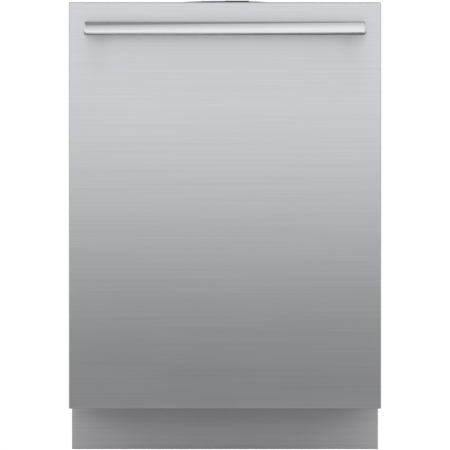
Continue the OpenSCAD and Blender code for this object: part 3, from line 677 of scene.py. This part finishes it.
def upper_rack():
    """The upper basket, its runners, and the pipe and post that feed the middle spray arm."""
    low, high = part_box("upper_rack")
    x1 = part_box("lower_rack")[1].x - 16 * MM
    y1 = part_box("lower_rack")[1].y
    rim, floor = high.z, high.z - 160 * MM
    fine, rims = basket(x1, low.y, y1, floor, rim, 30 * MM, (0.48,))
    rows = [low.y + d * MM for d in range(70, 371, 60)]
    pins, feet = tine_rows(rows, -x1 + 105 * MM, x1 - 105 * MM, floor + 6 * MM, 46 * MM, 32 * MM, 0.2)
    rims.append(rack_grip(60 * MM, 52 * MM, low.y + 3 * MM, rim - 3 * MM, 29 * MM, 12 * MM))
    groups = [(1.6 * MM, fine + pins), (2.4 * MM, rims + feet)]
    wires("upper_rack_wires", "upper_rack", groups, ("upper_rack",))
    slide_low, slide_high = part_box("rail_sliders")
    z = (slide_low.z + slide_high.z) / 2
    bars = []
    for s in (-1, 1):
        a, b = sorted((s * (x1 + 6 * MM), s * high.x))
        bars.append(((a, slide_low.y, z - 6.5 * MM), (b, slide_high.y, z + 6.5 * MM)))
        for y in (slide_low.y + 60 * MM, slide_high.y - 60 * MM):
            a, b = sorted((s * (x1 - 2 * MM), s * (x1 + 7 * MM)))
            bars.append(((a, y - 16 * MM, z - 20 * MM), (b, y + 16 * MM, z + 6 * MM)))
    piece("upper_rack_runners", box_parts(bars, 1.2 * MM), "rail_sliders", body="upper_rack")
    arm_low, arm_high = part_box("middle_spray_arm")
    tube_z = low.z + 3 * MM + 26 * MM
    mid_y = (arm_low.y + arm_high.y) / 2
    end = high.y - mid_y + 2 * MM
    tube = [(0, 7 * MM), (2 * MM, 10.5 * MM), (15 * MM, 10.8 * MM), (end - 14 * MM, 9.5 * MM),
            (end - 10 * MM, 11 * MM), (end, 11 * MM), (end, 7 * MM)]
    rings = lathe(tube, (0, mid_y - 2 * MM, tube_z), (0, 1, 0), 32)
    piece("upper_rack_manifold", build(*loft(rings)), "middle_spray_arm", body="upper_rack")
    steps = [(0, 6 * MM), (22 * MM, 6 * MM), (24 * MM, 14 * MM), (34 * MM, 14 * MM)]
    post = lathe(steps, (0, mid_y, low.z), (0, 0, 1), 32)
    piece("upper_rack_post", build(*loft(post)), "middle_spray_arm", body="upper_rack")


def third_rack():
    """The shallow top tray and its runners."""
    low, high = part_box("third_rack")
    x1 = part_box("lower_rack")[1].x - 16 * MM
    y1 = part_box("lower_rack")[1].y
    fine, rims = basket(x1, low.y, y1, low.z, high.z, 17 * MM, (), 1.3 * MM, 2.2 * MM, 8 * MM)
    wires("third_rack_wires", "third_rack", [(1.3 * MM, fine), (2.2 * MM, rims)], ("third_rack",))
    bars = []
    rail_low, rail_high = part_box("rack_rails")
    z = low.z + 17 * MM
    for s in (-1, 1):
        a, b = sorted((s * (x1 - 1 * MM), s * high.x))
        bars.append(((a, rail_low.y, z - 7.5 * MM), (b, rail_high.y, z + 7.5 * MM)))
    piece("third_rack_runners", box_parts(bars, 1.2 * MM), "rail_sliders", body="third_rack")


def cup_shelf(node):
    """A folding shelf: a wire grid on its hinge rod, with a scalloped inner edge."""
    low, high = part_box(node)
    side = 1 if high.x > 0 else -1
    hinge_x = side * (max(abs(low.x), abs(high.x)) - 3 * MM)
    inner_x = side * (min(abs(low.x), abs(high.x)) + 2 * MM)
    z = (low.z + high.z) / 2
    first, last = low.y + 8 * MM, high.y - 8 * MM
    bars = [[Vector((hinge_x, y, z)), Vector((inner_x, y, z))] for y in spaced(first, last, 22 * MM)]
    edge = []
    for y in spaced(low.y + 6 * MM, high.y - 6 * MM, 6 * MM):
        wave = 7 * MM * (0.5 - 0.5 * math.cos((y - low.y) / (78 * MM) * 2 * math.pi))
        edge.append(Vector((inner_x + side * wave, y, z)))
    rod = [Vector((hinge_x, low.y, z)), Vector((hinge_x, high.y, z))]
    mid_x = (hinge_x + inner_x) / 2
    middle = [Vector((mid_x, first, z)), Vector((mid_x, last, z))]
    groups = [(1.5 * MM, bars + [middle]), (1.9 * MM, [edge]), (2.8 * MM, [rod])]
    wires(node + "_wires", node, groups, (node,))


def cutlery_basket():
    """A moulded basket with three cells, its walls a lattice of ribs."""
    low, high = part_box("cutlery_basket")
    bm = bmesh.new()

    def lattice(origin, u, v, nu, nv):
        grid = [[bm.verts.new(origin + u * (i / nu) + v * (j / nv)) for i in range(nu + 1)]
                for j in range(nv + 1)]
        for j in range(nv):
            for i in range(nu):
                bm.faces.new((grid[j][i], grid[j][i + 1], grid[j + 1][i + 1], grid[j + 1][i]))

    edge = 1.5 * MM
    a, b = low + Vector((edge, edge, edge)), high - Vector((edge, edge, edge))
    wide, long, tall = Vector((b.x - a.x, 0, 0)), Vector((0, b.y - a.y, 0)), Vector((0, 0, b.z - a.z))
    lattice(a, wide, long, 10, 20)
    for k in range(4):
        lattice(a + long * (k / 3), wide, tall, 10, 7)
    for k in range(2):
        lattice(a + wide * k, long, tall, 20, 7)
    mesh = bpy.data.meshes.new("basket")
    bm.to_mesh(mesh)
    bm.free()
    obj = piece("cutlery_basket_lattice", mesh, "cutlery_basket", ("cutlery_basket",))
    mod = obj.modifiers.new("ribs", "WIREFRAME")
    mod.thickness, mod.use_even_offset = 2.4 * MM, False
    under, wall = high.z - 5 * MM, 3 * MM
    rims = [((low.x, low.y, under), (high.x, low.y + wall, high.z)),
            ((low.x, high.y - wall, under), (high.x, high.y, high.z)),
            ((low.x, low.y, under), (low.x + wall, high.y, high.z)),
            ((high.x - wall, low.y, under), (high.x, high.y, high.z))]
    piece("cutlery_basket_rim", box_parts(rims, 1.2 * MM), "cutlery_basket")


# ---------------------------------------------------------------- water parts

# each arm's height of blade above its underside, blade thickness and hub radius
ARM_SIZES = {"lower_spray_arm": (2 * MM, 12 * MM, 24 * MM), "middle_spray_arm": (3 * MM, 11 * MM, 20 * MM)}


def spray_arm(node, jets):
    """A moulded arm: domed on top, flat below, wide at its hub, with raised jets."""
    low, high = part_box(node)
    mid_y, length = (low.y + high.y) / 2, high.x - low.x
    lift, blade, hub_r = ARM_SIZES[node]
    blade_low = low.z + lift
    wide, tip = (high.y - low.y) / 2, 15 * MM
    rings = []
    for t in [-1 + 2 * i / 60 for i in range(61)]:
        x = t * length / 2
        taper = wide + (tip - wide) * abs(t)
        from_end = length / 2 - abs(x)
        round_off = math.sqrt(max(0.0004, 1 - (1 - min(1.0, from_end / tip)) ** 2))
        w = taper * round_off
        h = blade * (0.55 + 0.45 * round_off)
        ring = []
        for k in range(24):
            a = 2 * math.pi * k / 24
            c, s = math.cos(a), math.sin(a)
            y = w * math.copysign(abs(c) ** 0.7, c)
            z = h * (0.5 + 0.5 * math.copysign(abs(s) ** 0.75, s))
            ring.append(Vector((x, mid_y + y, blade_low + z)))
        rings.append(ring)
    piece(node + "_blade", build(*loft(rings)), node, (node,))
    tall = high.z - low.z
    steps = [(0.3 * MM, hub_r - 2 * MM), (1.5 * MM, hub_r), (tall - 2 * MM, hub_r - 1 * MM),
             (tall, hub_r - 4 * MM)]
    hub = lathe(steps, (0, mid_y, low.z), (0, 0, 1))
    piece(node + "_hub", build(*loft(hub)), node)
    nozzle = [(-3 * MM, 5.2 * MM), (-0.6 * MM, 5.0 * MM), (0, 4.2 * MM), (0, 1.6 * MM), (-1.5 * MM, 1.2 * MM)]
    verts, faces = [], []
    for i in range(jets):
        for s in (-1, 1):
            x = s * (45 * MM + (length / 2 - 68 * MM) * i / (jets - 1))
            y = mid_y + (6 if i % 2 else -6) * MM
            v, f = loft(lathe(nozzle, (x, y, blade_low + blade), (0, 0, 1), 20))
            faces += [tuple(k + len(verts) for k in face) for face in f]
            verts += v
    piece(node + "_jets", build(verts, faces), node, finish=FINISH["base_plastic"])


def filters():
    """The filter's punched sheet, and the edges of the small water parts."""
    frame["nodes"]["fine_filter"].data.materials[0] = MESH_STEEL
    soften("filter_cup", 0.7 * MM, 2)
    soften("float_cap", 1.5 * MM, 3)
    soften("ceiling_sprayer", 1 * MM, 3)
    soften("feed_tube", 2.5 * MM, 3)
    soften("sump_housing", 0.8 * MM, 2)


# ---------------------------------------------------------------- base

def feet():
    """Each foot: a hexagon above a round pad, and a threaded stud."""
    for node in ("foot_front_left", "foot_front_right", "foot_rear_left", "foot_rear_right"):
        low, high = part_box(node)
        x, y, r = (low.x + high.x) / 2, (low.y + high.y) / 2, (high.x - low.x) / 2
        pad = lathe([(0, r - 2 * MM), (1.5 * MM, r), (5 * MM, r), (8 * MM, r - 3 * MM)], (x, y, 0), (0, 0, 1))
        piece(node + "_pad", build(*loft(pad)), node, (node,))
        steps = [(7.5 * MM, 9 * MM), (8 * MM, 9.6 * MM), (13.5 * MM, 9.6 * MM), (14 * MM, 9 * MM)]
        nut = lathe(steps, (x, y, 0), (0, 0, 1), 6)
        piece(node + "_hex", build(*loft(nut), angle=25), node, finish=FINISH["zinc_steel"])
        thread, pitch = [], 1.5 * MM
        z = 10 * MM
        while z < high.z - 1 * MM:
            thread += [(z, 4.2 * MM), (z + pitch / 2, 5 * MM)]
            z += pitch
        stud = lathe(thread, (x, y, 0), (0, 0, 1), 24)
        piece(node + "_stud", build(*loft(stud), angle=20), node, finish=FINISH["zinc_steel"])


def springs():
    """The two counterbalance springs, close-wound, with their hooks."""
    low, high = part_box("door_springs")
    groups = []
    for s in (-1, 1):
        x = s * (high.x - 4.5 * MM)
        start = Vector((x, low.y + 1 * MM, high.z - 2 * MM))
        end = Vector((x, high.y - 1 * MM, low.z + 2 * MM))
        along = (end - start).normalized()
        side = Vector((1, 0, 0))
        up = along.cross(side)
        length = (end - start).length
        coil, turns = [], 58
        for i in range(turns * 10 + 1):
            t = i / (turns * 10)
            a = 2 * math.pi * turns * t
            centre = start + along * (0.3 + 0.62 * t) * length
            coil.append(centre + (side * math.cos(a) + up * math.sin(a)) * 3.6 * MM)
        groups.append((0.85 * MM, [coil]))
        hooks = [[start, start + along * 0.305 * length], [end - along * 0.085 * length, end]]
        groups.append((0.9 * MM, hooks))
    wires("door_spring_coils", "door_springs", groups, ("door_springs",), sides=2)


def air_break():
    """The air break: a welded plastic box with its water passages standing out as ridges."""
    low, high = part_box("air_break_box")
    plate = low.x + 3.2 * MM
    ridge, y0, y1, z0, z1 = 7 * MM, low.y + 12 * MM, high.y - 12 * MM, low.z + 14 * MM, high.z - 14 * MM
    walls = [((plate, low.y, low.z), (high.x, high.y, high.z))]

    def wall(ya, yb, za, zb):
        walls.append(((low.x, min(ya, yb), min(za, zb)), (plate + 1 * MM, max(ya, yb), max(za, zb))))

    wall(y0, y0 + ridge, z0, z1)
    wall(y1 - ridge, y1, z0, z1)
    wall(y0, y1, z1 - ridge, z1)
    wall(y0, y1, z0, z0 + ridge)
    for i, z in enumerate(spaced(z0 + 40 * MM, z1 - 60 * MM, 34 * MM)):
        start, end = (y0, y1 - 26 * MM) if i % 2 else (y0 + 26 * MM, y1)
        wall(start, end, z, z + ridge * 0.6)
    piece("air_break_shell", box_parts(walls, 1.4 * MM), "air_break_box", ("air_break_box",))
    vent = lathe([(0, 17 * MM), (1.6 * MM, 16 * MM), (1.6 * MM, 11 * MM), (0.4 * MM, 10 * MM)],
                 (plate, (low.y + high.y) / 2, z1 - 38 * MM), (-1, 0, 0))
    piece("air_break_vent", build(*loft(vent)), "air_break_box")


def blanket():
    """The felt round the tub, and the tape that closes its seams."""
    soften("insulation_blanket", 2.5 * MM, 3)
    low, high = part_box("insulation_blanket")
    off, r, flap = 0.25 * MM, 7 * MM, 34 * MM
    x1, z1 = high.x + off, high.z + off
    path = [(x1, z1 - flap)] + arc(x1 - r, z1 - r, r, 0, 90, 6) + [(x1 - flap, z1)]

    def tape(name, rows):
        mesh = surface(rows)
        obj = piece(name, mesh, "insulation_blanket", finish=TAPE)
        solidify(obj, 0.2 * MM, inward(mesh, TUB_MIDDLE))

    for side, name in ((-1, "left"), (1, "right")):
        places = spaced(low.y + 2 * MM, high.y - 2 * MM, 60 * MM)
        tape("seam_tape_" + name, [[Vector((side * x, y, z)) for x, z in path] for y in places])
        post = arc(side * (x1 - r), high.y + off - r, r, 90 - 90 * side, 90, 6)
        corner_y = [(side * x1, high.y + off - flap)] + post + [(side * (x1 - flap), high.y + off)]
        places = spaced(low.z + 4 * MM, high.z - flap - 1 * MM, 60 * MM)
        tape("rear_tape_" + name, [[Vector((x, y, z)) for x, y in corner_y] for z in places])


def base_parts():
    """The plain pressed and moulded parts, their edges rounded, and the base tray's side ribs."""
    for node in ("base_tray", "inlet_valve", "junction_box", "wash_pump", "drain_pump",
                 "hinge_brackets", "hinge_arms", "mounting_brackets", "latch_strike", "door_latch",
                 "front_frame", "rack_rails", "rail_sliders"):
        soften(node, 0.5 * MM, 2)
    # the kick plate takes the lighter copy of the front steel: painted light
    soften("kick_plate", 0.5 * MM, 2, KICK_STEEL_PAINTED_LIGHT)
    low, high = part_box("base_tray")
    ribs, z0, z1 = [], low.z + 6 * MM, high.z - 8 * MM
    for s in (-1, 1):
        x = s * high.x
        for y in spaced(low.y + 120 * MM, high.y - 30 * MM, 48 * MM):
            ribs.append(((x - (0.3 + 0.2 * s) * MM, y, z0), (x + 0.3 * MM, y + 3 * MM, z1)))
    piece("base_tray_ribs", box_parts(ribs, 0.2 * MM), "base_tray")


# ---------------------------------------------------------------- stage

def emitter(name, size, place, turn, ramp_stops, strength):
    """A soft glowing card that only reflections and bounced light see, brighter towards one end."""
    bpy.ops.mesh.primitive_plane_add(size=1, location=place, rotation=turn)
    card = bpy.context.object
    card.name = name
    card.scale = (size[0], size[1], 1)
    mat = bpy.data.materials.new(name)
    mat.use_nodes = True
    nodes, links = mat.node_tree.nodes, mat.node_tree.links
    nodes.clear()
    out = nodes.new("ShaderNodeOutputMaterial")
    glow = nodes.new("ShaderNodeEmission")
    place_node = nodes.new("ShaderNodeTexCoord")
    split = nodes.new("ShaderNodeSeparateXYZ")
    ramp = nodes.new("ShaderNodeValToRGB")
    ramp.color_ramp.interpolation = "EASE"
    stops = ramp.color_ramp.elements
    while len(stops) < len(ramp_stops):
        stops.new(0.5)
    for stop, (at, value) in zip(stops, ramp_stops):
        stop.position = at
        stop.color = (value, value * 1.005, value * 1.025, 1)
    links.new(place_node.outputs["Generated"], split.inputs[0])
    links.new(split.outputs["Y"], ramp.inputs["Fac"])
    links.new(ramp.outputs["Color"], glow.inputs["Color"])
    glow.inputs["Strength"].default_value = strength
    links.new(glow.outputs[0], out.inputs["Surface"])
    card.data.materials.append(mat)
    card.visible_camera = False
    card.visible_shadow = False
    return card


def area(name, place, target, size, power):
    """A rectangular light at a place, turned to a target."""
    light = bpy.data.lights.new(name, "AREA")
    light.shape, light.energy = "RECTANGLE", power
    light.size, light.size_y = size
    obj = bpy.data.objects.new(name, light)
    obj.location = place
    obj.rotation_euler = (Vector(target) - Vector(place)).to_track_quat("-Z", "Y").to_euler()
    bpy.context.scene.collection.objects.link(obj)
    return obj


def floor_with_painted_shade():
    """A pale floor with painted shade: its colour darkens towards the machine, dark within 0.85 m in front of
    it and pale beyond 1.5 m.
    """
    mat = material("floor_painted_shade", (0.7, 0.7, 0.7), 0, 0.8, scale=3, tone=0.01, bump=0.0)
    nodes, links = mat.node_tree.nodes, mat.node_tree.links
    place = nodes.new("ShaderNodeTexCoord")
    split = nodes.new("ShaderNodeSeparateXYZ")
    # painted shade: the floor's colour falls from 0.71 far in front to 0.31 near the machine
    painted_shade = nodes.new("ShaderNodeMapRange")
    painted_shade.interpolation_type = "SMOOTHSTEP"
    painted_shade.inputs["From Min"].default_value = -1.50
    painted_shade.inputs["From Max"].default_value = -0.85
    painted_shade.inputs["To Min"].default_value = 0.71
    painted_shade.inputs["To Max"].default_value = 0.31
    links.new(place.outputs["Object"], split.inputs[0])
    links.new(split.outputs["Y"], painted_shade.inputs["Value"])
    links.new(painted_shade.outputs["Result"], nodes["Principled BSDF"].inputs["Base Color"])
    return mat


def stage():
    """The plain world, the floor, the lights and the camera."""
    scene = bpy.context.scene
    scene.view_settings.view_transform = "Standard"
    world = bpy.data.worlds.new("studio")
    scene.world = world
    world.use_nodes = True
    nodes, links = world.node_tree.nodes, world.node_tree.links
    nodes.clear()
    out = nodes.new("ShaderNodeOutputWorld")
    place = nodes.new("ShaderNodeTexCoord")
    split = nodes.new("ShaderNodeSeparateXYZ")
    ramp = nodes.new("ShaderNodeValToRGB")
    stops = ramp.color_ramp.elements
    stops.new(0.5)
    lift = nodes.new("ShaderNodeMapRange")
    lift.inputs["From Min"].default_value = -1.0
    for stop, (at, value) in zip(stops, ((0.45, 0.95), (0.70, 0.86), (0.92, 0.34))):
        stop.position = at
        stop.color = (value, value, value, 1)
    soft = nodes.new("ShaderNodeBackground")
    white = nodes.new("ShaderNodeBackground")
    white.inputs["Color"].default_value = (1, 1, 1, 1)
    white.inputs["Strength"].default_value = 1.05
    ray = nodes.new("ShaderNodeLightPath")
    mix = nodes.new("ShaderNodeMixShader")
    links.new(place.outputs["Generated"], split.inputs[0])
    links.new(split.outputs["Z"], lift.inputs["Value"])
    links.new(lift.outputs["Result"], ramp.inputs["Fac"])
    links.new(ramp.outputs["Color"], soft.inputs["Color"])
    links.new(ray.outputs["Is Camera Ray"], mix.inputs["Fac"])
    links.new(soft.outputs[0], mix.inputs[1])
    links.new(white.outputs[0], mix.inputs[2])
    links.new(mix.outputs[0], out.inputs["Surface"])

    bpy.ops.mesh.primitive_plane_add(size=40, location=(0, 0, -0.0004))
    floor = bpy.context.object
    floor.name = "floor"
    floor.data.materials.append(floor_with_painted_shade())
    floor.visible_camera = False

    emitter("front_card", (3.2, 1.75), (0, face_y - 0.75, 0.855), (math.radians(90), 0, 0),
            ((0.0, 0.02), (0.09, 0.03), (0.25, 0.55), (0.38, 1.02), (0.55, 1.03), (0.70, 0.86), (0.83, 0.68),
             (1.0, 0.45)), 1.07)
    area("top_front", (0.0, -1.5, 2.7), (0, 0, 0.7), (1.2, 1.0), 45).visible_glossy = False
    area("left", (-2.4, -0.6, 1.6), (0, 0, 0.45), (1.6, 1.6), 22).visible_glossy = False
    area("right", (2.4, -0.6, 1.6), (0, 0, 0.45), (1.6, 1.6), 22).visible_glossy = False
    area("back", (0.0, 2.6, 2.0), (0, 0, 0.45), (2.4, 1.4), 26)

    cam = bpy.data.cameras.new("camera")
    cam_obj = bpy.data.objects.new("camera", cam)
    away = 8.0
    panel_share, drop_share = 0.69489, 0.49556
    # the panel fills this share of the frame's width, and the lens is this share below its top edge
    frame_width = 2 * half / panel_share
    cam.sensor_width = 36
    cam.lens = cam.sensor_width * away / frame_width
    cam_obj.location = (0.0, face_y - away, panel_top - drop_share * frame_width)
    cam_obj.rotation_euler = (math.radians(90), 0, 0)
    scene.collection.objects.link(cam_obj)
    scene.camera = cam_obj


def carried_over():
    """CAD nodes whose shape is right keep it and take their finish."""
    for name, node in frame["nodes"].items():
        if name == "fine_filter":
            continue
        if not node.data.materials:
            node.data.materials.append(None)
        for i in range(len(node.data.materials)):
            node.data.materials[i] = FINISH[SLOT[name]]


carried_over()
door_skin()
handle()
control_strip()
liner()
dispenser()
tub_shell()
tub_back()
gasket()
lower_rack()
wheels("wheels_front")
wheels("wheels_rear")
fold_tines()
upper_rack()
third_rack()
cup_shelf("cup_shelf_left")
cup_shelf("cup_shelf_right")
cutlery_basket()
spray_arm("lower_spray_arm", 6)
spray_arm("middle_spray_arm", 5)
filters()
feet()
springs()
air_break()
blanket()
base_parts()
stage()
